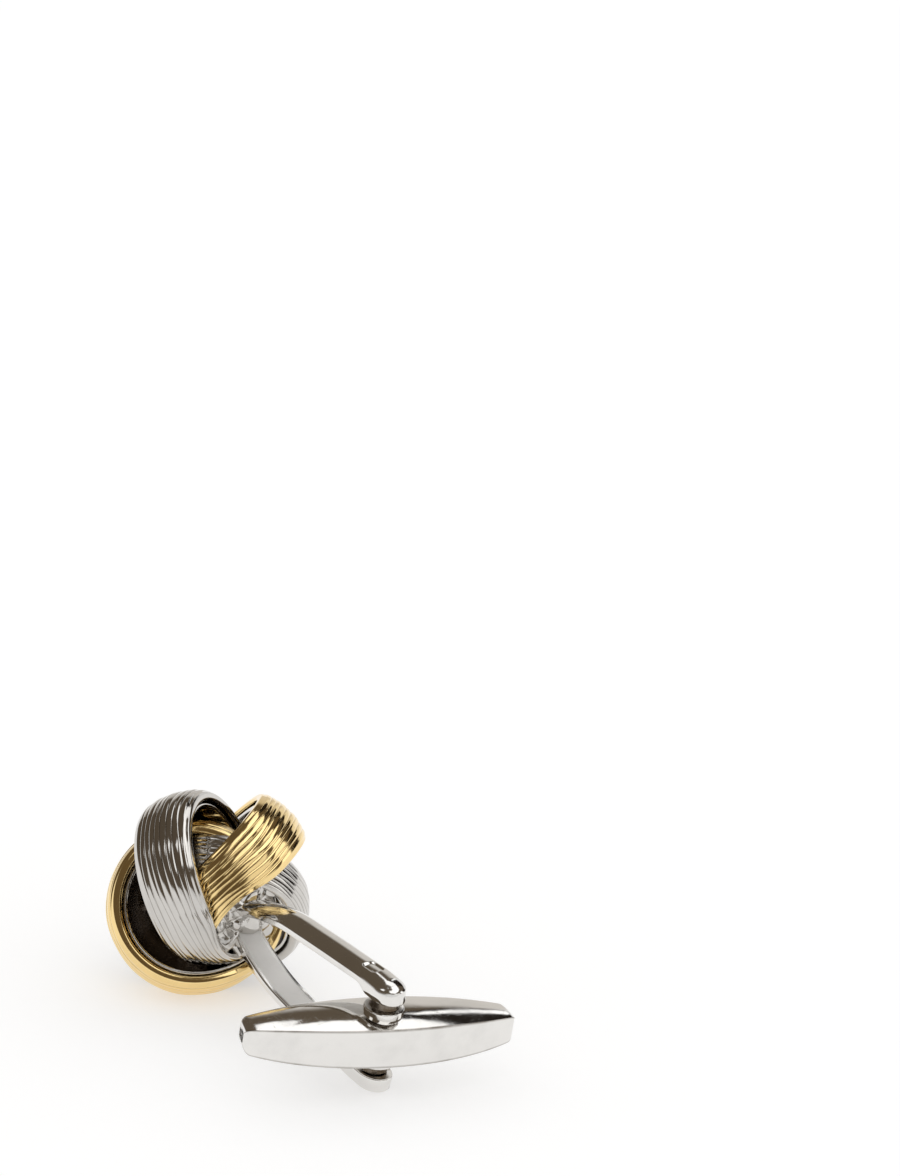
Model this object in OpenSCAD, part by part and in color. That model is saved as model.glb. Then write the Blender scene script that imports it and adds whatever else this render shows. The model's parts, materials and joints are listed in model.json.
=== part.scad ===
// Cufflink: a knot of four linked ribbed bands on a two-arm fork, with a
// whale-back toggle that swivels between the arm tips.
// Drawn upright first: the post runs along Z, the pivot along Y, the closed
// toggle along X. "lying" then sets the whole piece down on the table.

/* [Knot bands] */
// Outer radius of a band at its two rims
band_rim_r = 5.65; // [4.5:0.05:7]
// Width of a band from rim to rim
band_w = 4.4; // [3:0.1:5]
// How far the ribbed outside domes up between the rims
band_crown = 0.5; // [0.2:0.05:0.9]
// How far the smooth inside follows that dome
band_hollow = 0.4; // [0.1:0.05:0.8]
// Metal thickness at the rims
band_t = 0.66; // [0.5:0.05:1.2]
// Radius of the rounded rim lip
lip_r = 0.22; // [0.1:0.02:0.36]
// Number of ribs across a band
ribs = 9; // [5:1:13]
// Radius of one rib's round back
rib_r = 0.25; // [0.15:0.01:0.35]
// Height of a rib over the groove beside it
rib_h = 0.15; // [0.05:0.01:0.25]
// Distance of a band's centre from the post axis
band_off = 1.74; // [1.2:0.05:2.6]
// Tilt of a band's axis away from the post axis, degrees
band_tilt = 50.5; // [45:0.5:60]
// Turn of the knot on the post, degrees from the pivot axis
knot_turn = 43; // [0:1:90]

/* [Core] */
// Radius of the hidden hub that the bands are brazed to
hub_r = 1.2; // [0.8:0.1:1.6]
// Half height of the hub
hub_h = 1.3; // [0.8:0.1:2]
// Radius of the four spokes of the hub
spoke_r = 0.55; // [0.3:0.05:0.9]
// Gap left for solder between a spoke end and its band
braze_gap = 0.02; // [0.01:0.01:0.1]
// Radius of the solder collar under the fork
collar_r = 1.6; // [1.2:0.05:2.2]
// Height of the solder collar
collar_h = 0.28; // [0.2:0.02:0.6]
// Radius of the collar's rounded shoulder
collar_round = 0.14; // [0.05:0.01:0.2]

/* [Fork] */
// Radius of the stem below the arms
stem_r = 0.85; // [0.5:0.05:0.95]
// Height of the underside of the arms over the knot's middle
foot_z = 3.9; // [3.6:0.05:6]
// Height of the pivot over the knot's middle
pivot_z = 21; // [16:0.1:24]
// Thickness of an arm along its middle
arm_t = 1; // [0.7:0.05:1.4]
// Width of an arm at the pivot
arm_w = 2.45; // [2:0.1:3.5]
// Width of an arm at the foot
foot_w = 2.3; // [1.6:0.1:3]
// Distance between the middles of the two arms at the pivot
arm_gap = 7.6; // [6:0.1:9]
// Radius of the convex outer face of an arm
arm_round = 1.9; // [1.4:0.05:4]
// Length of the blank stamped panel near an arm tip
panel_l = 1.3; // [0.6:0.1:2]
// Width of the stamped panel
panel_w = 1; // [0.5:0.1:1.4]
// Corner radius of the stamped panel
panel_corner = 0.25; // [0.1:0.05:0.4]
// Depth of the stamped panel below the crest of the arm
panel_d = 0.15; // [0.05:0.01:0.3]
// Distance of the panel's middle below the pivot
panel_z = 1.75; // [1.5:0.05:4]

/* [Pivot] */
// Radius of the pivot pin
pin_r = 0.6; // [0.4:0.05:0.9]
// Half thickness across the pin's detent flats
pin_flat = 0.5; // [0.3:0.02:0.6]
// Depth of the blind hole that holds the pin in each arm
pin_seat = 0.6; // [0.4:0.05:0.8]
// Fixing clearance of the pin in the arms
pin_fix = 0.01; // [0.005:0.005:0.03]
// Running clearance of the toggle on the pin
run_gap = 0.04; // [0.02:0.01:0.1]
// End clearance between the toggle's bosses and the arms
side_gap = 0.08; // [0.04:0.01:0.2]

/* [Toggle] */
// Length of the toggle over its outer face
toggle_l = 20; // [16:0.5:24]
// How much shorter the back is at each end
end_slant = 0.45; // [0:0.05:1]
// Height of the middle of the outer face over the pivot
face_z = 2.2; // [1.5:0.05:3]
// How far the outer face bows over the length
face_bow = 1.85; // [0.5:0.1:3]
// Depth of the back under the pivot
back_z = 2.95; // [2:0.05:4]
// How far the back bows over the length
back_bow = 1.2; // [0.5:0.1:3]
// Radius of the back across the toggle
back_crown = 2.15; // [2.1:0.05:5]
// Radius of the toggle's end corners in plan
end_round = 0.5; // [0.2:0.05:0.9]
// Half width of the toggle at its widest line
side_y = 1.85; // [1.4:0.05:3]
// Loss of half width from the middle to the ends
side_bow = 0.9; // [0.3:0.05:1.4]
// Radius of the side's bulge from face to back
side_round = 7.8; // [4:0.1:14]
// Height of the widest line over the pivot
side_z = -0.2; // [-1:0.1:1]
// Wall thickness of the hollow body
wall = 0.45; // [0.3:0.05:0.7]
// Thickness of the outer face plate
plate_t = 0.45; // [0.3:0.05:0.7]
// Overhang of the face plate past the body
plate_lip = 0.06; // [0:0.01:0.2]
// Radius of the wide boss round the pivot
boss_r = 1.3; // [1.05:0.05:2]
// Reach of the wide boss from the middle
boss_y = 2.6; // [2.1:0.05:3]
// Radius of the narrow boss that runs against the arm
neck_r = 0.98; // [0.8:0.02:1.3]

/* [Detent spring] */
// Half length of the leaf spring
leaf_x = 5.4; // [4:0.1:7]
// Width of the leaf spring
leaf_w = 2; // [1:0.1:2.6]
// Thickness of the leaf spring
leaf_t = 0.24; // [0.15:0.01:0.4]
// Gap between the leaf spring and what it bears on
leaf_gap = 0.03; // [0.01:0.01:0.1]

/* [Pose on the table] */
// Swivel of the toggle away from square to the post, degrees
swivel = 15.5; // [-90:1:90]
// Tilt of the post, knot end up, degrees
lie_tilt = 7.264; // [0:0.001:20]
// Roll of the piece about its post, degrees
lie_roll = -1.719; // [-45:0.001:45]
// Height of the knot's middle over the table
lie_z = 7.078; // [5:0.0001:10]
// Place of the knot's middle along the table
lie_x = -9.0504; // [-12:0.0001:0]
// Place of the knot's middle across the table
lie_y = -0.0242; // [-4:0.0001:4]

/* [Hidden] */
$fn = 96;
quarter = 90;
// arcs through a chord and its bow
crown_arc = (pow(band_w / 2, 2) + pow(band_crown, 2)) / (2 * band_crown);
hollow_arc = (pow(band_w / 2, 2) + pow(band_hollow, 2)) / (2 * band_hollow);
face_arc = (pow(toggle_l / 2, 2) + pow(face_bow, 2)) / (2 * face_bow);
back_arc = (pow(toggle_l / 2, 2) + pow(back_bow, 2)) / (2 * back_bow);
side_arc = (pow(toggle_l / 2, 2) + pow(side_bow, 2)) / (2 * side_bow);
// half of the angle that the ribs fill on the dome's arc
rib_span = asin((band_w / 2 - lip_r - rib_r) / crown_arc);
// inner edge of a band in its middle plane, seen from the post axis
spoke_end = band_rim_r - band_t + band_hollow - band_off - braze_gap;
arm_in = arm_gap / 2 - arm_t / 2;
boss_end = arm_in - side_gap;
over = 2 * arm_gap;
arm_run = pivot_z - foot_z;
leaf_rise = face_z - face_arc + sqrt(pow(face_arc - plate_t, 2) - pow(leaf_x, 2)) - leaf_t
    - leaf_gap;
// the arm's middle line: share of its height at the pivot, share of its half spacing there
arm_rise_shares = [0, 0.035, 0.076, 0.134, 0.2, 0.28, 0.37, 0.485, 0.63, 0.79, 0.88, 0.935, 1, 1.1];
arm_open_shares = [0.1, 0.24, 0.36, 0.475, 0.58, 0.685, 0.765, 0.82, 0.885, 0.95, 0.985, 1, 1, 1];
// the crest line of the convex face: share of the spacing at this share of the height
crest_rise_share = 0.485;
crest_open_share = 0.82;
// plan width of an arm: share of the height, share of the step from foot to pivot width
arm_plan_shares = [[0, 0], [0.08, 0], [0.25, 0.9], [0.4, 1], [1, 1]];
steps = 6;

silver = [0.80, 0.79, 0.77];
gold = [0.93, 0.72, 0.35];
steel = [0.62, 0.62, 0.62];

// places a piece drawn upright on the table
module lying() {
    translate([lie_x, lie_y, lie_z])
        rotate([0, lie_tilt, 0]) rotate([90, 0, 90]) rotate([0, 0, lie_roll])
            children();
}

// places a piece drawn on the pivot, toggle square to the post
module on_pivot() {
    lying() translate([0, 0, pivot_z]) rotate([0, -swivel, 0]) children();
}

// section of a band: domed sheet, ribs outside, rounded rims
module band_section() {
    half = band_w / 2;
    dome_x = band_rim_r + band_crown - crown_arc;
    intersection() {
        difference() {
            translate([dome_x, 0]) circle(r = crown_arc - rib_h, $fn = 256);
            translate([band_rim_r - band_t + band_hollow - hollow_arc, 0])
                circle(r = hollow_arc, $fn = 256);
        }
        translate([band_rim_r - band_t, -half + lip_r])
            square([band_t + band_crown, band_w - 2 * lip_r]);
    }
    for (side = [-1, 1])
        translate([band_rim_r - band_t / 2, side * (half - lip_r)])
            lip_section();
    for (i = [0:ribs - 1]) {
        a = rib_span * (2 * i / (ribs - 1) - 1);
        translate([dome_x + (crown_arc - rib_r) * cos(a), (crown_arc - rib_r) * sin(a)])
            circle(r = rib_r, $fn = 32);
    }
}

// rounded edge of a band, smooth on both faces
module lip_section() {
    flat = band_t / 2 - lip_r;
    for (side = [-1, 1]) translate([side * flat, 0]) circle(r = lip_r, $fn = 32);
    translate([-flat, -lip_r]) square([2 * flat, 2 * lip_r]);
}

// section of a band without ribs, grown all round by the braze gap
module blank_section() {
    dome_x = band_rim_r + band_crown - crown_arc;
    tall = band_w + 2 * braze_gap;
    intersection() {
        difference() {
            translate([dome_x, 0]) circle(r = crown_arc + braze_gap, $fn = 256);
            translate([band_rim_r - band_t + band_hollow - hollow_arc, 0])
                circle(r = hollow_arc - braze_gap, $fn = 256);
        }
        translate([band_rim_r - band_t - braze_gap, -tall / 2])
            square([band_t + band_crown + 2 * braze_gap, tall]);
    }
}

// puts a ring drawn flat in its place among the four bands
module band_place(index) {
    rotate([0, 0, quarter + knot_turn + quarter * index])
        translate([band_off, 0, 0]) rotate([band_tilt, 0, 0]) children();
}

// room for the four bands and the braze round them
module band_room() {
    for (i = [0:3]) band_place(i) rotate_extrude($fn = 128) blank_section();
}

// one ribbed band in its place
module band(index) {
    lying() band_place(index) rotate_extrude($fn = 128) band_section();
}

module silver_band_upper() { color(silver) band(0); }
module gold_band_lower() { color(gold) band(1); }
module silver_band_lower() { color(silver) band(2); }
module gold_band_upper() { color(gold) band(3); }

// hub with one spoke to the inside of each band
module knot_core() {
    color(steel) lying() difference() {
        union() {
            translate([0, 0, -hub_h]) cylinder(r = hub_r, h = 2 * hub_h);
            for (i = [0:3])
                rotate([0, 0, knot_turn - quarter + quarter * i]) rotate([0, quarter, 0])
                    cylinder(r = spoke_r, h = spoke_end);
        }
        cylinder(r = stem_r, h = 2 * hub_h);
    }
}

// ring of solder under the fork's foot, round the stem and between the bands
module solder_collar() {
    color(silver) lying() difference() {
        translate([0, 0, foot_z - collar_h]) rotate_extrude() {
            square([collar_r, collar_h - collar_round]);
            square([collar_r - collar_round, collar_h]);
            translate([collar_r - collar_round, collar_h - collar_round])
                circle(r = collar_round, $fn = 32);
        }
        translate([0, 0, foot_z - 2 * collar_h]) cylinder(r = stem_r, h = 3 * collar_h);
        band_room();
    }
}

// value at share u of the interval i in a table, on a smooth curve through it
function curve(t, i, u) =
    let (n = len(t) - 1, p0 = t[max(i - 1, 0)], p1 = t[i], p2 = t[i + 1], p3 = t[min(i + 2, n)])
    0.5 * (2 * p1 + (p2 - p0) * u + (2 * p0 - 5 * p1 + 4 * p2 - p3) * u * u
        + (3 * p1 - p0 - 3 * p2 + p3) * u * u * u);
function samples(t) = concat(
    [for (i = [0:len(t) - 2]) for (k = [0:steps - 1]) curve(t, i, k / steps)], [t[len(t) - 1]]);

// outline of the +Y arm from the side: outer edge up, inner edge down
module arm_side() {
    z = samples(arm_rise_shares);
    y = samples(arm_open_shares);
    n = len(z) - 1;
    mid = [for (i = [0:n]) [y[i] * arm_gap / 2, foot_z + z[i] * arm_run]];
    dir = [for (i = [0:n]) let (d = mid[min(i + 1, n)] - mid[max(i - 1, 0)]) d / norm(d)];
    outer = [for (i = [0:n]) mid[i] + [dir[i].y, -dir[i].x] * arm_t / 2];
    inner = [for (i = [0:n]) mid[i] - [dir[i].y, -dir[i].x] * arm_t / 2];
    polygon(concat([[0, foot_z]],
        [for (p = outer) if (p.y > foot_z) p],
        [for (i = [n:-1:0]) if (inner[i].x > 0) inner[i]],
        [[0, foot_z + arm_t]]));
}

// outline of an arm from the front: narrow at the foot, round at the tip
module arm_plan() {
    grow = (arm_w - foot_w) / 2;
    right = [for (s = arm_plan_shares) [foot_w / 2 + grow * s[1], foot_z + s[0] * arm_run]];
    polygon(concat(right, [for (i = [len(right) - 1:-1:0]) [-right[i].x, right[i].y]]));
    translate([0, pivot_z]) circle(r = arm_w / 2);
}

// distance of the crest of an arm's outer face from the post, at a share of its height
function crest(share) = arm_t / 2 + arm_gap / 2 * (crest_open_share
    + (1 - crest_open_share) * (share - crest_rise_share) / (1 - crest_rise_share));

// one arm, flat inside and convex outside, with the blind hole for the pin
module arm() {
    lean = atan2(crest(1) - crest(0), arm_run);
    difference() {
        intersection() {
            rotate([quarter, 0, quarter]) translate([0, 0, -arm_w])
                linear_extrude(height = 2 * arm_w) arm_side();
            rotate([quarter, 0, 0]) translate([0, 0, -over])
                linear_extrude(height = 2 * over) arm_plan();
            translate([0, crest(1), pivot_z]) rotate([-lean, 0, 0])
                translate([0, -arm_round, -2 * arm_run]) cylinder(r = arm_round, h = 3 * arm_run);
        }
        translate([0, arm_in + pin_seat, pivot_z]) rotate([quarter, 0, 0])
            cylinder(r = pin_r + pin_fix, h = over);
        translate([0, crest(1 - panel_z / arm_run) - panel_d, pivot_z - panel_z])
            rotate([-quarter - lean, 0, 0]) linear_extrude(height = arm_t) panel_outline();
    }
}

// blank rounded rectangle stamped into the arm
module panel_outline() {
    x = panel_w / 2 - panel_corner;
    y = panel_l / 2 - panel_corner;
    for (sx = [-1, 1]) for (sy = [-1, 1])
        translate([sx * x, sy * y]) circle(r = panel_corner, $fn = 32);
    square([2 * x, panel_l], center = true);
    square([panel_w, 2 * y], center = true);
}

// two arms and their stem, filed to sit between the bands
module fork() {
    color(silver) lying() difference() {
        union() {
            arm();
            rotate([0, 0, 2 * quarter]) arm();
            translate([0, 0, hub_h]) cylinder(r = stem_r - pin_fix, h = foot_z + arm_t / 2 - hub_h);
        }
        band_room();
    }
}

// pin with a squared middle that the leaf spring bears on
module pivot_pin() {
    reach = arm_in + pin_seat - pin_fix;
    mid = side_y - wall;
    color(steel) lying() translate([0, 0, pivot_z]) {
        for (a = [0, 2 * quarter]) rotate([0, 0, a]) translate([0, mid, 0])
            rotate([-quarter, 0, 0]) cylinder(r = pin_r, h = reach - mid);
        intersection() {
            translate([0, -mid, 0]) rotate([-quarter, 0, 0]) cylinder(r = pin_r, h = 2 * mid);
            cube([2 * pin_flat, over, 2 * pin_flat], center = true);
        }
    }
}

// bulged side of the toggle, part of the rim of a large wheel
module side_wheel(inset) {
    translate([0, side_y - side_arc, side_z]) rotate([0, 0, quarter / 2])
        rotate_extrude(angle = quarter, $fn = 480) translate([side_arc - side_round, 0])
            intersection() {
                circle(r = side_round - inset, $fn = 240);
                translate([0, -side_round]) square([side_round, 2 * side_round]);
            }
}

// back of the toggle, crowned across and bowed along
module back_wheel(inset) {
    translate([0, 0, back_arc - back_z]) rotate([quarter, 0, 0])
        rotate([0, 0, -quarter - quarter / 2]) rotate_extrude(angle = quarter, $fn = 480) {
            translate([back_arc - back_crown, 0]) circle(r = back_crown - inset, $fn = 96);
            translate([back_arc - over, -over]) square([over - back_crown, 2 * over]);
        }
}

// outline of the toggle's ends from the side, slanted towards the back
module end_side(inset) {
    half = toggle_l / 2 - inset;
    low = face_z - face_bow;
    polygon([[half, low], [half, face_z + face_bow], [-half, face_z + face_bow], [-half, low],
        [end_slant - half, -back_z], [half - end_slant, -back_z]]);
}

// rounded end corners of the toggle in plan
module end_plan(inset) {
    corner = max(end_round - inset, end_round / 4);
    x = toggle_l / 2 - inset - corner;
    y = side_y - side_bow - inset - corner;
    translate([-x, -over]) square([2 * x, 2 * over]);
    translate([-x - corner, -y]) square([2 * (x + corner), 2 * y]);
    for (sx = [-1, 1]) for (sy = [-1, 1]) translate([sx * x, sy * y]) circle(r = corner);
}

// whale-back block with its sides, back and ends moved in by inset and its
// outer face on a cylinder of radius top
module whale(inset, top) {
    intersection() {
        translate([0, over / 2, face_z - face_arc]) rotate([quarter, 0, 0])
            cylinder(r = top, h = over, $fn = 720);
        back_wheel(inset);
        side_wheel(inset);
        mirror([0, 1, 0]) side_wheel(inset);
        translate([0, over / 2, 0]) rotate([quarter, 0, 0])
            linear_extrude(height = over) end_side(inset);
        translate([0, 0, -over / 2]) linear_extrude(height = over) end_plan(inset);
    }
}

// hollow body of the toggle with a stepped boss on each side
module toggle_shell() {
    color(silver) on_pivot() difference() {
        union() {
            whale(0, face_arc - plate_t);
            rotate([quarter, 0, 0]) translate([0, 0, -boss_y]) cylinder(r = boss_r, h = 2 * boss_y);
            rotate([quarter, 0, 0]) translate([0, 0, -boss_end]) cylinder(r = neck_r, h = 2 * boss_end);
        }
        whale(wall, face_arc + plate_t);
        rotate([quarter, 0, 0]) translate([0, 0, -over]) cylinder(r = pin_r + run_gap, h = 2 * over);
    }
}

// plate that closes the body and is the toggle's outer face
module toggle_face_plate() {
    color(silver) on_pivot() difference() {
        whale(-plate_lip, face_arc);
        translate([0, over, face_z - face_arc]) rotate([quarter, 0, 0])
            cylinder(r = face_arc - plate_t, h = 2 * over, $fn = 720);
    }
}

// leaf spring between the face plate and the pin
module detent_leaf() {
    n = 2 * steps;
    low = [for (i = [-n:n]) let (u = i / n)
        [u * leaf_x, pin_r + leaf_gap + (leaf_rise - pin_r - leaf_gap) * u * u]];
    color(steel) on_pivot() translate([0, leaf_w / 2, 0]) rotate([quarter, 0, 0])
        linear_extrude(height = leaf_w)
            polygon(concat(low, [for (i = [2 * n:-1:0]) low[i] + [0, leaf_t]]));
}

silver_band_upper();
gold_band_lower();
silver_band_lower();
gold_band_upper();
knot_core();
solder_collar();
fork();
pivot_pin();
toggle_shell();
toggle_face_plate();
detent_leaf();
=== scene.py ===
import json
import math

import bmesh
import bpy
from mathutils import Matrix, Vector, noise


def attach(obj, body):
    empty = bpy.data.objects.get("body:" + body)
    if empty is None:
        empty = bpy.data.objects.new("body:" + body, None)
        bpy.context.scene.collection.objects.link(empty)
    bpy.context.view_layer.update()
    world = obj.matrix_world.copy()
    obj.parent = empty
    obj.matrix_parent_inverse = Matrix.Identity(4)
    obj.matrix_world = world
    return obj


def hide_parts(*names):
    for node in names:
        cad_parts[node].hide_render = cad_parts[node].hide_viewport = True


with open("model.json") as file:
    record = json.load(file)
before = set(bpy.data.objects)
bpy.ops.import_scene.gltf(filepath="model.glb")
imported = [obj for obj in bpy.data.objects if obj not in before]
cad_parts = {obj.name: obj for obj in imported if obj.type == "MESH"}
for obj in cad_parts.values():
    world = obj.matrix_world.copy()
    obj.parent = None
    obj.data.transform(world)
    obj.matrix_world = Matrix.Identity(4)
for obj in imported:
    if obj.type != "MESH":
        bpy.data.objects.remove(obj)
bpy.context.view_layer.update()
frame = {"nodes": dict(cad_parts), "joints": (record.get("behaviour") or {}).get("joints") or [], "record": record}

# Sizes in metres and angles in degrees, most of them under the names of the part's source.
mm = 0.001
merge_d = 0.001 * mm

band_rim_r = 5.65 * mm
band_w = 4.4 * mm
band_crown = 0.5 * mm
band_hollow = 0.4 * mm
band_t = 0.66 * mm
lip_r = 0.22 * mm
ribs = 9
rib_r = 0.25 * mm
band_off = 1.74 * mm
band_tilt = 50.5
knot_turn = 43

foot_z = 3.9 * mm
pivot_z = 21 * mm
arm_t = 1 * mm
arm_w = 2.45 * mm
foot_w = 2.3 * mm
arm_gap = 7.6 * mm
arm_round = 1.9 * mm
arm_edge = 0.13 * mm
panel_l = 1.3 * mm
panel_w = 1 * mm
panel_corner = 0.25 * mm
panel_d = 0.12 * mm
panel_z = 1.75 * mm
side_gap = 0.08 * mm

toggle_l = 20 * mm
end_slant = 0.45 * mm
face_z = 2.2 * mm
face_bow = 1.85 * mm
back_z = 2.95 * mm
back_bow = 1.2 * mm
back_crown = 2.15 * mm
side_y = 1.85 * mm
side_bow = 0.9 * mm
side_round = 7.8 * mm
side_z = -0.2 * mm
toggle_edge = 0.13 * mm
toggle_end_edge = 0.5 * mm
boss_r = 1.4 * mm
boss_y = 2.15 * mm
neck_r = 0.95 * mm
swivel = 15.5

# The arm's middle line: share of its height at the pivot, share of its half spacing there.
arm_line = [(0.035, 0.24), (0.076, 0.36), (0.134, 0.475), (0.2, 0.58), (0.28, 0.685),
            (0.37, 0.765), (0.485, 0.82), (0.63, 0.885), (0.79, 0.95), (0.88, 0.985),
            (0.935, 1), (1, 1)]

# The part's own axes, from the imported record: along the toggle at a right angle to the
# pivot, across on the pivot, and up the post from the knot's middle.
joint = frame["joints"][0]
pivot = Vector(joint["pos_m"])
post = Vector(frame["record"]["mounts"][0]["axis"]).normalized()
across = -Vector(joint["axis"]).normalized()
along = across.cross(post).normalized()
knot = pivot - post * pivot_z
upright = Matrix.Translation(knot) @ Matrix((along, across, post)).transposed().to_4x4()
on_pivot = upright @ Matrix.Translation((0, 0, pivot_z)) @ Matrix.Rotation(
    math.radians(-swivel), 4, "Y")


def finish_piece(bm, name, place, body, material, replaced=()):
    """Puts a finished bmesh on the table as a named piece that rides on a body."""
    bmesh.ops.transform(bm, matrix=place, verts=bm.verts)
    bmesh.ops.recalc_face_normals(bm, faces=bm.faces)
    mesh = bpy.data.meshes.new(name)
    bm.to_mesh(mesh)
    bm.free()
    for polygon in mesh.polygons:
        polygon.use_smooth = True
    piece = bpy.data.objects.new(name, mesh)
    bpy.context.scene.collection.objects.link(piece)
    piece.data.materials.append(material)
    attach(piece, body)
    if replaced:
        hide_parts(*replaced)
    return piece


def merge(bm):
    """Joins places that lie on each other."""
    bmesh.ops.remove_doubles(bm, verts=bm.verts, dist=merge_d)


def ring_of(bm, points):
    """Closed loop of edges through points."""
    verts = [bm.verts.new(p) for p in points]
    return [bm.edges.new((verts[i], verts[(i + 1) % len(verts)])) for i in range(len(verts))]


def spin_round(bm, outline, steps):
    """Closed outline of radius and height, turned all the way round its axis."""
    loop = ring_of(bm, [(x, 0, y) for x, y in outline])
    bmesh.ops.spin(bm, geom=loop, cent=(0, 0, 0), axis=(0, 0, 1), angle=2 * math.pi,
                   steps=steps, use_merge=True, use_duplicate=False)


def loft(bm, rings, ends=True):
    """Skin through equal rings of points, with both ends closed unless told otherwise."""
    loops = [ring_of(bm, ring) for ring in rings]
    for a, b in zip(loops, loops[1:]):
        bmesh.ops.bridge_loops(bm, edges=a + b)
    if ends:
        for loop in (loops[0], loops[-1]):
            bmesh.ops.edgeloop_fill(bm, edges=loop)


def smoothstep(low, high, value):
    """0 below low and 1 above high, with a soft rise between."""
    t = min(max((value - low) / (high - low), 0), 1)
    return t * t * (3 - 2 * t)


def catmull(points, steps):
    """Smooth curve through points, as the part's source draws its arm."""
    out = []
    last = len(points) - 1
    for i in range(last):
        p = [Vector(points[min(max(k, 0), last)]) for k in (i - 1, i, i + 1, i + 2)]
        for k in range(steps):
            u = k / steps
            out.append(0.5 * (2 * p[1] + (p[2] - p[0]) * u
                              + (2 * p[0] - 5 * p[1] + 4 * p[2] - p[3]) * u * u
                              + (3 * p[1] - p[0] - 3 * p[2] + p[3]) * u ** 3))
    return out + [Vector(points[last])]


def refine(line, longest):
    """The same line with no step over a length."""
    out = [line[0]]
    for a, b in zip(line, line[1:]):
        count = max(1, math.ceil((b - a).length / longest))
        out += [a.lerp(b, k / count) for k in range(1, count + 1)]
    return out


def arc(centre, radius, start, end, count):
    """Points on an arc in the x y plane, angles in degrees, both ends included."""
    angles = [math.radians(start + (end - start) * i / (count - 1)) for i in range(count)]
    return [(centre[0] + radius * math.cos(a), centre[1] + radius * math.sin(a))
            for a in angles]


def on_bend(start, corner, end, t):
    """Place on a rounded corner, from its start at t = 0 to its end at t = 1."""
    return tuple((1 - t) ** 2 * start + 2 * t * (1 - t) * corner + t * t * end)


def bend(start, corner, end, count):
    """Points on a rounded corner between two places, both included."""
    start, corner, end = Vector(start), Vector(corner), Vector(end)
    return [on_bend(start, corner, end, k / (count - 1)) for k in range(count)]


def rounded(points, radius, segments=4, sharp=25):
    """Closed outline with every corner that turns by more than sharp degrees rounded."""
    out = []
    count = len(points)
    most = 0.45  # share of a side that one corner may take
    for i in range(count):
        before, corner, after = (Vector(points[(i + k) % count]) for k in (-1, 0, 1))
        a, b = before - corner, after - corner
        turned_by = math.pi - a.angle(b)
        if turned_by < math.radians(sharp):
            out.append(tuple(corner))
            continue
        cut = min(radius * math.tan(turned_by / 2), most * a.length, most * b.length)
        start, end = corner + a.normalized() * cut, corner + b.normalized() * cut
        out += [on_bend(start, corner, end, k / segments) for k in range(segments + 1)]
    return out


def new_material(name):
    """Fresh material with its tree and its one shader."""
    material = bpy.data.materials.new(name)
    material.use_nodes = True
    return material, material.node_tree, material.node_tree.nodes["Principled BSDF"]


def node(tree, kind, inputs=(), **settings):
    """Adds a node, sets its inputs by name or number and links those given as sockets."""
    made = tree.nodes.new("ShaderNode" + kind)
    for key, value in settings.items():
        setattr(made, key, value)
    for key, value in dict(inputs).items():
        if isinstance(value, bpy.types.NodeSocket):
            tree.links.new(value, made.inputs[key])
        else:
            made.inputs[key].default_value = value
    return made


def sums(tree, operation, *values):
    """One step of arithmetic on masks and numbers."""
    return node(tree, "Math", dict(enumerate(values)), operation=operation).outputs[0]


def band_pass(tree, value, low, high):
    """Mask that rises softly from 0 to 1 between two levels of a value."""
    return node(tree, "MapRange", {"Value": value, "From Min": low, "From Max": high},
                interpolation_type="SMOOTHSTEP").outputs["Result"]


def wear_group():
    """Shared surface marks of polished plating, all on the object's own coordinates."""
    group = bpy.data.node_groups.new("plating_marks", "ShaderNodeTree")
    for name in ("Smudge", "Scratch", "Height"):
        group.interface.new_socket(name, in_out="OUTPUT", socket_type="NodeSocketFloat")
    place = node(group, "TexCoord").outputs["Object"]
    cloud = node(group, "TexNoise", {"Vector": place, "Scale": 420.0, "Detail": 5.0,
                                     "Roughness": 0.6}).outputs["Fac"]
    smudge = band_pass(group, cloud, 0.38, 0.72)
    hairs = []
    for turn, stretch in (((0.3, 0.9, 0.2), (9000.0, 260.0, 9000.0)),
                          ((1.2, 0.1, 1.9), (240.0, 8000.0, 8000.0))):
        drawn = node(group, "Mapping", {"Vector": place, "Rotation": turn, "Scale": stretch})
        hair = node(group, "TexNoise", {"Vector": drawn.outputs["Vector"], "Scale": 1.0,
                                        "Detail": 2.0}).outputs["Fac"]
        hairs.append(band_pass(group, hair, 0.66, 0.74))
    scratch = sums(group, "MAXIMUM", *hairs)
    wave = node(group, "TexNoise", {"Vector": place, "Scale": 950.0,
                                    "Detail": 1.5}).outputs["Fac"]
    grain = node(group, "TexNoise", {"Vector": place, "Scale": 9000.0,
                                     "Detail": 2.0}).outputs["Fac"]
    grain_share, scratch_share = 0.05, -0.06
    high = sums(group, "ADD", wave, sums(group, "MULTIPLY", grain, grain_share))
    height = sums(group, "MULTIPLY_ADD", scratch, scratch_share, high)
    out = group.nodes.new("NodeGroupOutput")
    for name, value in (("Smudge", smudge), ("Scratch", scratch), ("Height", height)):
        group.links.new(value, out.inputs[name])
    return group


marks = wear_group()
wave_height = 0.006 * mm
handled_shade = 0.93
# Darkening where the recess attribute is set, grime and painted shade: least where clean, more where smudged.
grime_and_shade_least, grime_and_shade_smudged = 0.45, 0.35
rough_smudged, rough_scratched, rough_in_recess, rough_satin = 0.06, 0.12, 0.2, 0.4
metal_lost_in_satin = -0.65


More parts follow.
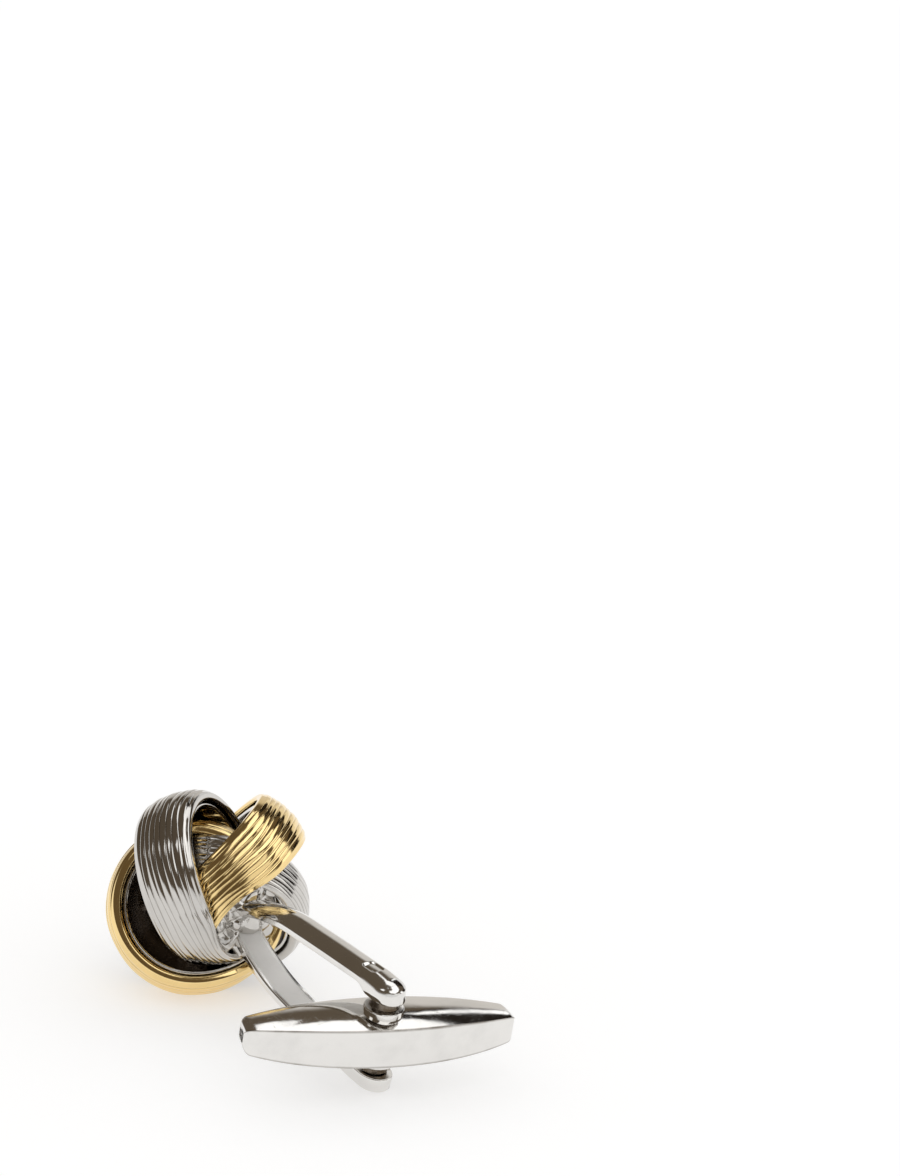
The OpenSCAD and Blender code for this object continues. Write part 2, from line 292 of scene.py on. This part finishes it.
def plated(name, colour, groove_colour, roughness):
    """Polished plating: handled and lightly scratched, dull in the grooves and dark there with painted shade and
    some grime.
    """
    material, tree, shader = new_material(name)
    worn = node(tree, "Group", node_tree=marks).outputs
    recess = node(tree, "Attribute", attribute_name="recess").outputs["Fac"]
    satin = node(tree, "Attribute", attribute_name="satin").outputs["Fac"]
    metal = sums(tree, "MULTIPLY_ADD", satin, metal_lost_in_satin, 1.0)
    # Dark mixed in where the recess attribute is set: painted shade with some tarnish in the rib grooves, painted
    # shade at the necks, a dark joint at the face plate's seam.
    grime_and_shade = sums(tree, "MULTIPLY_ADD", worn["Smudge"], grime_and_shade_smudged, grime_and_shade_least)
    grime_and_shade = sums(tree, "MULTIPLY", grime_and_shade, recess)
    handled = [c * handled_shade for c in colour]
    # Sockets 6 and 7 of a Mix node are its two colours, and output 2 is the mixed one.
    base = node(tree, "Mix", {"Factor": worn["Smudge"], 6: (*colour, 1), 7: (*handled, 1)},
                data_type="RGBA").outputs[2]
    base = node(tree, "Mix", {"Factor": grime_and_shade, 6: base, 7: (*groove_colour, 1)},
                data_type="RGBA").outputs[2]
    rough = sums(tree, "MULTIPLY_ADD", worn["Smudge"], rough_smudged, roughness)
    for mask, share in ((worn["Scratch"], rough_scratched), (grime_and_shade, rough_in_recess),
                        (satin, rough_satin)):
        rough = sums(tree, "MULTIPLY_ADD", mask, share, rough)
    bump = node(tree, "Bump", {"Height": worn["Height"], "Distance": wave_height,
                               "Strength": 1.0})
    for value, socket in ((metal, "Metallic"), (base, "Base Color"), (rough, "Roughness"),
                          (bump.outputs["Normal"], "Normal")):
        tree.links.new(value, shader.inputs[socket])
    return material


silver = plated("silver_plate", (0.80, 0.785, 0.76), (0.12, 0.09, 0.06), 0.07)
# A darker copy of the silver for the knot's bands and solder: painted shade, as the knot lies in shade on the
# floor.
ribbed = plated("silver_ribbed_shaded", (0.62, 0.60, 0.57), (0.10, 0.075, 0.05), 0.08)
gold = plated("gold_plate", (0.93, 0.70, 0.33), (0.2, 0.1, 0.03), 0.08)
# Near-black colour for the knot's closed inside: painted shade of its deep hollow.
dark = plated("knot_inside_painted_shade", (0.11, 0.09, 0.075), (0.03, 0.02, 0.015), 0.22)
steel = plated("spring_steel", (0.55, 0.55, 0.54), (0.12, 0.09, 0.06), 0.25)

# The solids themselves, by the first letters of their names.
for name, solid in frame["nodes"].items():
    material = {"gold": gold, "pivo": steel, "deta": steel}.get(name[:4], silver)
    solid.data.materials.clear()
    solid.data.materials.append(material)

# The knot's bands: each a ribbed dome over a hollow, both drawn as arcs of a circle.
half_w = band_w / 2
dome_arc = (half_w ** 2 + band_crown ** 2) / (2 * band_crown)
hollow_arc = (half_w ** 2 + band_hollow ** 2) / (2 * band_hollow)
dome_x = band_rim_r + band_crown - dome_arc
hollow_x = band_rim_r - band_t + band_hollow - hollow_arc
rib_span = math.asin((half_w - lip_r - rib_r) / dome_arc)
rib_step = 2 * rib_span / (ribs - 1)
rib_points = 10
groove_d = 0.055 * mm
groove_power = 3.4
lip_points, hollow_points = 6, 15
lip_start, lip_end = 20, 170
hollow_short = 1.6 * lip_r
band_steps = 256

# How unevenly the ribs lie: sideways, in shares of a rib, and in height.
rib_wander = 0.42
wander_round, wander_across = 1.6, 0.55
rib_swell = 0.06 * mm
swell_round, swell_across, swell_seed = 2.4, 0.9, 7

# How far the knot opens round the solder at the fork.
spread = 1.5 * mm
spread_reach = 3 * mm
spread_low, spread_high = 0.5 * mm, 3.5 * mm


def band_outline():
    """Section of a band: ribbed dome outside, smooth hollow inside, round lips."""
    outside = []
    for i in range(ribs * rib_points + 1):
        share = i / rib_points - 0.5
        reach = dome_arc - groove_d * abs(2 * (share - round(share))) ** groove_power
        a = -rib_span + share * rib_step
        outside.append((dome_x + reach * math.cos(a), reach * math.sin(a)))
    lip_x, lip_in = band_rim_r - lip_r, band_rim_r - band_t + lip_r
    top = arc((lip_x, half_w - lip_r), lip_r, lip_start, 90, lip_points)
    top += arc((lip_in, half_w - lip_r), lip_r, 90, lip_end, lip_points)
    reach = math.degrees(math.asin((half_w - hollow_short) / hollow_arc))
    inside = arc((hollow_x, 0), hollow_arc, reach, -reach, hollow_points)
    bottom = [(x, -y) for x, y in reversed(top)]
    return outside + top + inside + bottom


def opened(v):
    """Moves a place on the knot outwards near the fork, where the bands spread apart."""
    reach = math.hypot(v.x, v.y)
    push = spread * math.exp(-(reach / spread_reach) ** 2) * smoothstep(
        spread_low, spread_high, v.z)
    return Vector((v.x * (1 + push / reach), v.y * (1 + push / reach), v.z))


def set_in_knot(bm, verts, index):
    """Moves rings drawn flat to the place of one of the four bands."""
    place = Matrix.Rotation(math.radians(90 + knot_turn + 90 * index), 4, "Z") \
        @ Matrix.Translation((band_off, 0, 0)) @ Matrix.Rotation(math.radians(band_tilt), 4, "X")
    bmesh.ops.transform(bm, matrix=place, verts=verts)
    for v in verts:
        v.co = opened(v.co)


def set_fresh_in_knot(bm, index):
    """Does so with what was drawn since the last call."""
    fresh = [v for v in bm.verts if not v.tag]
    set_in_knot(bm, fresh, index)
    for v in fresh:
        v.tag = True


def knot_band(name, index, material, seed):
    """One band: its section spun round, its ribs a little uneven as hand-finished ribs are."""
    bm = bmesh.new()
    spin_round(bm, band_outline(), band_steps)
    merge(bm)
    recess = bm.verts.layers.float.new("recess")
    for v in bm.verts:
        turn_dir = Vector((v.co.x, v.co.y, 0)).normalized()
        radius = math.hypot(v.co.x, v.co.y)
        reach = math.hypot(radius - dome_x, v.co.z)
        if reach < dome_arc - 2 * groove_d:
            continue
        a = math.atan2(v.co.z, radius - dome_x)
        edge = smoothstep(rib_span + rib_step * 0.5, rib_span - rib_step * 0.5, abs(a))
        place = a / rib_step
        # The recess value darkens the grooves between ribs with painted shade and some tarnish.
        v[recess] = smoothstep(groove_d * 0.5, groove_d, dome_arc - reach) * edge
        here = Vector((turn_dir.x * wander_round, turn_dir.y * wander_round,
                       place * wander_across + seed))
        a += rib_wander * rib_step * edge * noise.noise(here)
        here = Vector((turn_dir.x * swell_round, turn_dir.y * swell_round,
                       place * swell_across + seed + swell_seed))
        reach += rib_swell * edge * noise.noise(here)
        radius = dome_x + reach * math.cos(a)
        v.co = turn_dir * radius + Vector((0, 0, reach * math.sin(a)))
    set_in_knot(bm, bm.verts, index)
    return finish_piece(bm, name + "_ribbed", upright, "link", material, (name,))


# The silver bands take the darker silver with its painted shade.
knot_band("silver_band_upper", 0, ribbed, 0.0)
knot_band("gold_band_lower", 1, gold, 11.3)
knot_band("silver_band_lower", 2, ribbed, 23.9)
knot_band("gold_band_upper", 3, gold, 37.1)

# The inside of the knot: a dished web in each band, given as radius and half thickness.
web_rim = band_rim_r - band_t + 0.3 * mm
web_profile = [(web_rim, 0.34 * mm), (web_rim - 0.25 * mm, 0.42 * mm),
               (web_rim - 0.7 * mm, 0.15 * mm), (web_rim * 0.7, 0.1 * mm),
               (0.05 * mm, 0.1 * mm)]
web_steps = 96

# The lining of a band: a round lip over a thin wall that gets thicker inwards.
liner_r = band_rim_r - band_t - 0.05 * mm
liner_lip = 0.17 * mm
liner_low, liner_mid, liner_high = 0.3 * mm, 0.8 * mm, 1.7 * mm
liner_mid_t, liner_low_t = 2.1 * liner_lip, 2.4 * liner_lip
liner_steps = 128


def core_webs():
    """Closed inside of the knot, one dished web in each band, near black with painted shade of the deep hollow."""
    bm = bmesh.new()
    outline = web_profile + [(x, -y) for x, y in reversed(web_profile)]
    for index in range(4):
        spin_round(bm, outline, web_steps)
        set_fresh_in_knot(bm, index)
    merge(bm)
    return finish_piece(bm, "knot_inside_painted_shade", upright, "link", dark,
                        ("knot_core",))


def band_liners():
    """Thin bright lining inside each band, its lip just short of the band's own rim."""
    bm = bmesh.new()
    outline = arc((liner_r - liner_lip, liner_high), liner_lip, 0, 180, 7) + [
        (liner_r - liner_mid_t, liner_mid), (liner_r - liner_low_t, liner_low),
        (liner_r, liner_low)]
    for index in range(4):
        for side in (1, -1):
            spin_round(bm, [(x, y * side) for x, y in outline], liner_steps)
            set_fresh_in_knot(bm, index)
    merge(bm)
    return finish_piece(bm, "band_liners", upright, "link", silver)


core_webs()
band_liners()

# The fork: a strap with a crowned outside, bent round the foot, and an eye at each tip.
arm_run = pivot_z - foot_z
crown_edge = 0.42 * mm
crown_steps = 12
foot_half, foot_lift = 0.55 * mm, 0.06 * mm
strap_step = 0.09 * mm
panel_soft = 0.05 * mm
eye_depth = 0.45 * mm
eye_far, eye_near = 2.0 * mm, 0.7 * mm
eye_steps = 32
tip_reach = 1.25


def strap_section(half_width):
    """Section of the strap: flat inside, convex outside, round edges; x across, y outward."""
    start = half_width - min(crown_edge, half_width * 0.6)
    arc_y = [arm_t / 2 - arm_round + math.sqrt(arm_round ** 2 - x * x)
             for x in (start * k / crown_steps for k in range(crown_steps + 1))]
    corner_y = arc_y[-1] - start / math.sqrt(arm_round ** 2 - start ** 2) * (
        half_width - start)
    side_y = max(corner_y - crown_edge * 0.75, arm_edge - arm_t / 2)
    inner = min(arm_edge, half_width * 0.5)
    half = [(start * k / crown_steps, arc_y[k]) for k in range(crown_steps)]
    half += bend((start, arc_y[-1]), (half_width, corner_y), (half_width, side_y), 9)
    half += bend((half_width, arm_edge - arm_t / 2), (half_width, -arm_t / 2),
                 (half_width - inner, -arm_t / 2), 6)
    half += [((half_width - inner) * k, -arm_t / 2) for k in (0.66, 0.33, 0)]
    return half + [(-x, y) for x, y in reversed(half[1:-1])]


def strap_half_width(z):
    """Half width of the strap at a height, narrower towards the foot."""
    share = (z - foot_z) / arm_run
    return (foot_w + (arm_w - foot_w) * smoothstep(0.05, 0.35, share)) / 2


def strap_line():
    """Middle line of the strap from the upper eye round the foot to the lower eye."""
    side = [(share_open * arm_gap / 2, foot_z + share_rise * arm_run)
            for share_rise, share_open in arm_line]
    base = foot_z + arm_t * 0.45
    foot = [(foot_half, base + foot_lift), (0, base), (-foot_half, base + foot_lift)]
    points = [(y, z) for y, z in reversed(side)] + foot + [(-y, z) for y, z in side]
    return refine(catmull(points, 8), strap_step)


def panel_depth(x, z):
    """How deep the blank stamped panel is at a place on the arm's outer face."""
    dx = max(abs(x) - panel_w / 2 + panel_corner, 0)
    dz = max(abs(z - pivot_z + panel_z) - panel_l / 2 + panel_corner, 0)
    outside = math.hypot(dx, dz) - panel_corner
    return panel_d * (1 - smoothstep(-panel_soft, panel_soft, outside))


def fork_strap():
    """The bent strap, with a rounded eye turned round the pivot at each tip."""
    line = strap_line()
    last = len(line) - 1
    rings, inside = [], []
    for i, here in enumerate(line):
        ahead = (line[min(i + 1, last)] - line[max(i - 1, 0)]).normalized()
        if i in (0, last):
            # Square to the eye's axis, so that the turned tip closes on the strap.
            ahead = Vector((0, round(ahead.y)))
        out = Vector((-ahead.y, ahead.x))
        half = strap_half_width(here.y)
        ring = []
        for x, n in strap_section(half):
            if n > 0:
                n -= panel_depth(x, here.y + n * out.y)
            else:
                n -= eye_depth * smoothstep(eye_far, eye_near, pivot_z - here.y)
            inside.append(abs(x) < half - 1.2 * arm_edge and n < -arm_t * 0.45)
            ring.append((x, here.x + out.x * n, here.y + out.y * n))
        rings.append(ring)
    bm = bmesh.new()
    loft(bm, rings, ends=False)
    satin = bm.verts.layers.float.new("satin")
    for v, flat in zip(bm.verts, inside):
        v[satin] = float(flat)
    for ring in (rings[0], rings[-1]):
        verts = [bm.verts.new(p) for p in ring[:len(ring) // 2 + 1]]
        edges = [bm.edges.new(pair) for pair in zip(verts, verts[1:])]
        bmesh.ops.spin(bm, geom=verts + edges, cent=(0, 0, pivot_z), axis=(0, 1, 0),
                       angle=-math.pi, steps=eye_steps, use_duplicate=False)
    merge(bm)
    for v in bm.verts:
        v.co.z += (tip_reach - 1) * max(v.co.z - pivot_z, 0)
    return finish_piece(bm, "fork_strap", upright, "link", silver, ("fork",))


def fork_stem():
    """Stem under the foot, hidden between the bands."""
    stem_r, stem_low = 0.84 * mm, 1.3 * mm
    bm = bmesh.new()
    bmesh.ops.create_cone(bm, cap_ends=True, segments=48, radius1=stem_r, radius2=stem_r,
                          depth=foot_z - stem_low)
    bmesh.ops.translate(bm, verts=bm.verts, vec=(0, 0, (foot_z + stem_low) / 2))
    return finish_piece(bm, "fork_stem", upright, "link", silver)


fork_strap()
fork_stem()

# The solder: x, y, z from the knot's middle and radius of each drop, in millimetres.
solder_drops = [(0.0, 0.0, 3.9, 1.5), (1.4, 0.9, 4.0, 1.2), (-1.4, 0.9, 4.1, 1.15),
                (1.5, -0.8, 4.1, 1.1), (-1.4, -1.0, 4.0, 1.2), (-2.3, 0.1, 4.0, 0.95),
                (2.4, 0.0, 4.0, 0.95), (0.1, 2.1, 4.1, 1.1), (-0.1, -2.1, 4.1, 1.1),
                (-1.1, 0.2, 4.8, 0.65), (1.1, -0.2, 4.8, 0.65), (-1.9, 2.0, 4.1, 0.9),
                (1.9, 2.0, 4.0, 0.9), (-1.9, -2.0, 4.0, 0.95), (1.9, -2.0, 4.1, 0.85)]
lump_share = 0.3
lump_size = 0.95 * mm
solder_grain = 0.06 * mm
soften_rounds = 6


def solder_lumps():
    """Solder that has run round the foot, between the strap and the bands."""
    bm = bmesh.new()
    for x, y, z, r in solder_drops:
        lump = bmesh.ops.create_icosphere(bm, subdivisions=3, radius=r * mm)
        for v in lump["verts"]:
            v.co *= 1 + lump_share * noise.noise(v.co / lump_size + Vector((x, y, z)))
        bmesh.ops.translate(bm, verts=lump["verts"], vec=Vector((x, y, z)) * mm)
    # The solder takes the bands' darker silver, so it carries the same painted shade.
    piece = finish_piece(bm, "solder_lumps", upright, "link", ribbed,
                         ("solder_collar",))
    remesh = piece.modifiers.new("fuse", "REMESH")
    remesh.mode = "VOXEL"
    remesh.voxel_size = solder_grain
    remesh.use_smooth_shade = True
    soften = piece.modifiers.new("soften", "SMOOTH")
    soften.iterations = soften_rounds
    return piece


solder_lumps()

# The toggle: bowed outer face, barrel sides and a crowned back.
side_arc = ((toggle_l / 2) ** 2 + side_bow ** 2) / (2 * side_bow)
face_steps = 8
flank_steps = 40
flank_soft = 0.12 * mm
body_steps = 90
end_turn = 9
seam_face, seam_side = 0.06 * mm, 0.1 * mm


def bowed(bow, x):
    """How far an arc over the toggle's length has fallen at x."""
    radius = ((toggle_l / 2) ** 2 + bow ** 2) / (2 * bow)
    return radius - math.sqrt(radius ** 2 - x * x)


def side_at(x, z):
    """Half width of the toggle at a place on its side."""
    rim = side_arc - side_round + math.sqrt(side_round ** 2 - (z - side_z) ** 2)
    return side_y - side_arc + math.sqrt(rim ** 2 - x * x)


def toggle_outline(x):
    """Half outline of the toggle at x, from face to back, and the height of its face."""
    face, low = face_z - bowed(face_bow, x), -(back_z - bowed(back_bow, x))
    wide = side_at(x, face)
    half = [(wide * k / face_steps, face) for k in range(face_steps + 1)]
    for k in range(1, flank_steps):
        z = face + (low - face) * k / flank_steps
        depth = min(z - low, back_crown)
        crown = math.sqrt(back_crown ** 2 - (back_crown - depth) ** 2)
        flank = side_at(x, z)
        mixed = (crown + flank - math.sqrt((crown - flank) ** 2 + flank_soft ** 2)) / 2
        half.append((max(mixed, 0), z))
    half.append((0, low))
    return half, face


def toggle_stations():
    """Places along the toggle, each with how far its outline is drawn in there."""
    end = toggle_l / 2
    # From the flat of the end inwards, round its edge.
    edge = [(end, toggle_end_edge * 1.15)]
    edge += [(end - toggle_end_edge * (1 - math.cos(math.radians(a))),
              toggle_end_edge * (1 - math.sin(math.radians(a)))) for a in range(0, 91, end_turn)]
    inner = end - toggle_end_edge - 0.02 * mm
    middle = [(inner * (1 - 2 * k / body_steps), 0) for k in range(1, body_steps)]
    return edge + middle + [(-x, inset) for x, inset in reversed(edge)]


def toggle_body():
    """The closed toggle, with a thin dark line where its face plate is let in."""
    end = toggle_l / 2
    slant = 1 - end_slant / end
    rings, seam = [], []
    for x, inset in toggle_stations():
        half, face = toggle_outline(min(abs(x), end - toggle_end_edge * 0.2))
        full = [(y, z) for y, z in half] + [(-y, z) for y, z in reversed(half[1:-1])]
        full = rounded(full, toggle_edge, segments=7, sharp=40)
        middle = (face + half[-1][1]) / 2
        tall = (face - half[-1][1]) / 2
        wide = max(y for y, z in half)
        ring = []
        for y, z in full:
            seam.append(float(abs(z - face) < seam_face
                              and abs(abs(y) - half[face_steps][0]) < seam_side))
            y *= 1 - inset / wide
            z = middle + (z - middle) * (1 - inset / tall)
            down = (face_z - z) / (face_z + back_z)
            ring.append((x * (1 + (slant - 1) * down), y, z))
        rings.append(ring)
    bm = bmesh.new()
    loft(bm, rings)
    recess = bm.verts.layers.float.new("recess")
    for v, grimy in zip(bm.verts, seam):
        v[recess] = grimy
    return finish_piece(bm, "toggle_body", on_pivot, "toggle", silver,
                        ("toggle_shell", "toggle_face_plate"))


# The toggle's bosses: radius and distance from the toggle's middle.
boss_bore = 0.05 * mm
boss_low = side_y * 0.6
boss_edge = 0.1 * mm
boss_steps = 96
# The neck is darkened through the recess attribute: painted shade of the narrow gap under the strap's eye.
neck_painted_shade, neck_rise = 2, 0.05 * mm
pad_y = arm_gap / 2 - arm_t / 2 - eye_depth
boss_profile = [(boss_bore, boss_low), (boss_r, boss_low), (boss_r, boss_y),
                (neck_r, boss_y + 0.04 * mm), (neck_r, pad_y - side_gap),
                (boss_bore, pad_y - side_gap)]


def toggle_boss(name, side):
    """Disc on the toggle's side with a neck up to the strap's eye, darkened there with painted shade."""
    bm = bmesh.new()
    spin_round(bm, rounded(boss_profile, boss_edge), boss_steps)
    merge(bm)
    recess = bm.verts.layers.float.new("recess")
    for v in bm.verts:
        v[recess] = neck_painted_shade * smoothstep(boss_y, boss_y + neck_rise, v.co.z)
    place = on_pivot @ Matrix.Rotation(math.radians(-90 * side), 4, "X")
    return finish_piece(bm, name, place, "toggle", silver)


toggle_body()
toggle_boss("toggle_boss_upper", 1)
toggle_boss("toggle_boss_lower", -1)

# The camera, at the photograph's viewing angle, with the knot's middle where it shows it.
photo_w, photo_h = 900, 1176
focal_px = 6000
camera_azimuth = math.radians(53.06)
camera_elevation = math.radians(20.51)
camera_roll = math.radians(-3.10)
camera_depth = 0.4222
knot_px = Vector((210.8, 889.6))

back = Vector((math.sin(camera_azimuth) * math.cos(camera_elevation),
               -math.cos(camera_azimuth) * math.cos(camera_elevation),
               math.sin(camera_elevation)))
turn = (-back).to_track_quat("-Z", "Y").to_matrix() @ Matrix.Rotation(-camera_roll, 3, "Z")
aim = Vector(((knot_px.x - photo_w / 2) / focal_px, -(knot_px.y - photo_h / 2) / focal_px, -1))
camera = bpy.data.objects.new("camera", bpy.data.cameras.new("camera"))
camera.data.sensor_width = 36
camera.data.lens = focal_px / photo_h * camera.data.sensor_width
camera.data.clip_start, camera.data.clip_end = 0.01, 20
camera.matrix_world = Matrix.Translation(knot - turn @ (aim * camera_depth)) @ turn.to_4x4()
bpy.context.scene.collection.objects.link(camera)
bpy.context.scene.camera = camera

# The studio: cards round the object, which only reflections see.
facing = Vector((back.x, back.y, 0)).normalized()
sideways = Vector((0, 0, 1)).cross(facing)
centre = Vector((0, 0, 0.007))
card_columns, card_rows = 48, 24


def glow(name, colour, strength=1.0):
    """Plain glowing stage material that goes clear towards the card's rim."""
    material = bpy.data.materials.new(name)
    material.use_nodes = True
    tree = material.node_tree
    tree.nodes.clear()
    light = node(tree, "Emission", {"Color": (*colour, 1), "Strength": strength})
    fade = node(tree, "Attribute", attribute_name="fade")
    clear = node(tree, "BsdfTransparent")
    mix = node(tree, "MixShader", {0: fade.outputs["Fac"], 1: clear.outputs["BSDF"],
                                   2: light.outputs["Emission"]})
    node(tree, "OutputMaterial", {"Surface": mix.outputs["Shader"]})
    return material


def bearing(azimuth, elevation):
    """Direction seen from the object: azimuth 0 towards the camera, 90 to its right."""
    a, e = math.radians(azimuth), math.radians(elevation)
    return (facing * math.cos(a) + sideways * math.sin(a)) * math.cos(e) + Vector(
        (0, 0, math.sin(e)))


def card(name, azimuths, elevations, reach, material, soft=4.0, low_rim=None, tall=None,
         top_soft=None):
    """Curved card between two azimuths and two elevations, faded over soft degrees."""
    bm = bmesh.new()
    bmesh.ops.create_grid(bm, x_segments=card_columns, y_segments=card_rows, size=0.5)
    fade = bm.verts.layers.float.new("fade")
    for v in bm.verts:
        u, w = v.co.x + 0.5, v.co.y + 0.5
        azimuth = azimuths[0] + (azimuths[1] - azimuths[0]) * u
        low = elevations[0] if low_rim is None else low_rim(azimuth)
        high = elevations[1] if tall is None else low + tall(azimuth)
        elevation = low + (high - low) * w
        edge = min((azimuth - azimuths[0]) * math.cos(math.radians(elevation)) / soft,
                   (azimuths[1] - azimuth) * math.cos(math.radians(elevation)) / soft,
                   (elevation - low) / soft, (high - elevation) / (top_soft or soft))
        v[fade] = smoothstep(0, 1, edge)
        v.co = centre + bearing(azimuth, elevation) * reach
    mesh = bpy.data.meshes.new(name)
    bm.to_mesh(mesh)
    bm.free()
    piece = bpy.data.objects.new(name, mesh)
    bpy.context.scene.collection.objects.link(piece)
    piece.data.materials.append(material)
    piece.visible_camera = piece.visible_diffuse = piece.visible_shadow = False
    piece.visible_transmission = piece.visible_volume_scatter = False
    return piece


def through(table):
    """Smooth curve of elevation over azimuth through a table of places."""
    def value(azimuth):
        azimuth = (azimuth + 180) % 360 - 180
        for (a0, e0), (a1, e1) in zip(table, table[1:]):
            if a0 <= azimuth <= a1:
                return e0 + (e1 - e0) * smoothstep(a0, a1, azimuth)
        return table[-1][1]
    return value


def round_back(right_half, left_half):
    """One curve over azimuths that pass behind the object, from 0 to 360."""
    return lambda azimuth: right_half(azimuth) if azimuth <= 180 else left_half(azimuth)


room = glow("room_dark", (0.115, 0.09, 0.064))
black = glow("flag_black", (0.016, 0.012, 0.009))
white = glow("softbox_white", (1, 1, 1), 1.35)
bright = glow("softbox_bright", (1, 1, 1), 1.6)
soft_white = glow("softbox_soft", (1, 0.99, 0.97), 0.95)
paper = glow("paper_grey", (0.70, 0.67, 0.63))

# Where the white sweep ends and the dark room begins.
room_rim = through([(-180, 21), (-160, 12), (-140, 1), (-60, 1), (-41, 2), (0, 8), (60, 6),
                    (90, 4), (150, 17), (180, 21)])
# The softbox behind hangs askew, and so does the top of the grey paper.
box_low = round_back(
    through([(140, 49), (152, 48.5), (157, 47.5), (168, 50.5), (180, 50.5)]),
    through([(-180, 45), (-175, 41), (-170, 38)]))
paper_top = round_back(through([(165, 22), (168, 32), (171, 36), (177, 35), (180, 34)]),
                       through([(-180, 34), (-175, 31), (-165, 26), (-150, 22)]))
paper_foot = -12

card("stage_room", (-190, 190), (0, 90), 1.2, room, 3, room_rim)
card("stage_paper", (166, 215), (paper_foot, 0), 1.1, paper, 2, None,
     lambda azimuth: paper_top(azimuth) - paper_foot, top_soft=12)
card("stage_flag_behind", (141, 169), (20, 52), 1.15, black, 2)
card("stage_softbox_behind", (141, 188), (0, 72), 1.0, white, 1.5, box_low)
card("stage_strip_behind", (162.0, 166.6), (20, 43), 1.0, white, 1.2)
card("stage_softbox_above", (38, 146), (49, 78), 0.98, bright, 4)
card("stage_flag_right", (112, 138), (-2, 26), 1.05, black, 3)
card("stage_softbox_right", (84, 112), (3, 38), 1.0, white, 4)
card("stage_softbox_front", (28, 76), (4, 34), 1.0, soft_white, 4)
card("stage_softbox_high", (0, 60), (40, 76), 1.0, white, 4)
card("stage_strip_left", (-70, -40), (46, 70), 1.0, white, 4)

# The floor glows only where the camera, glossy and transmission rays see it.
floor_size = 6
floor_glow = 0.47
bm = bmesh.new()
bmesh.ops.create_grid(bm, x_segments=1, y_segments=1, size=floor_size / 2)
mesh = bpy.data.meshes.new("floor")
bm.to_mesh(mesh)
bm.free()
floor = bpy.data.objects.new("floor", mesh)
bpy.context.scene.collection.objects.link(floor)
material, tree, shader = new_material("floor")
shader.inputs["Base Color"].default_value = (0.64, 0.635, 0.63, 1)
shader.inputs["Roughness"].default_value = 0.9
shader.inputs["Specular IOR Level"].default_value = 0
shader.inputs["Emission Color"].default_value = (1, 1, 1, 1)
rays = node(tree, "LightPath").outputs
seen = sums(tree, "MAXIMUM", rays["Is Camera Ray"], rays["Is Glossy Ray"])
seen = sums(tree, "MAXIMUM", seen, rays["Is Transmission Ray"])
tree.links.new(sums(tree, "MULTIPLY", seen, floor_glow), shader.inputs["Emission Strength"])
floor.data.materials.append(material)

world = bpy.data.worlds.new("world")
world.use_nodes = True
bpy.context.scene.world = world
background = world.node_tree.nodes["Background"]
background.inputs["Color"].default_value = (1, 1, 1, 1)
background.inputs["Strength"].default_value = 0.85

bpy.context.scene.view_settings.view_transform = "Standard"
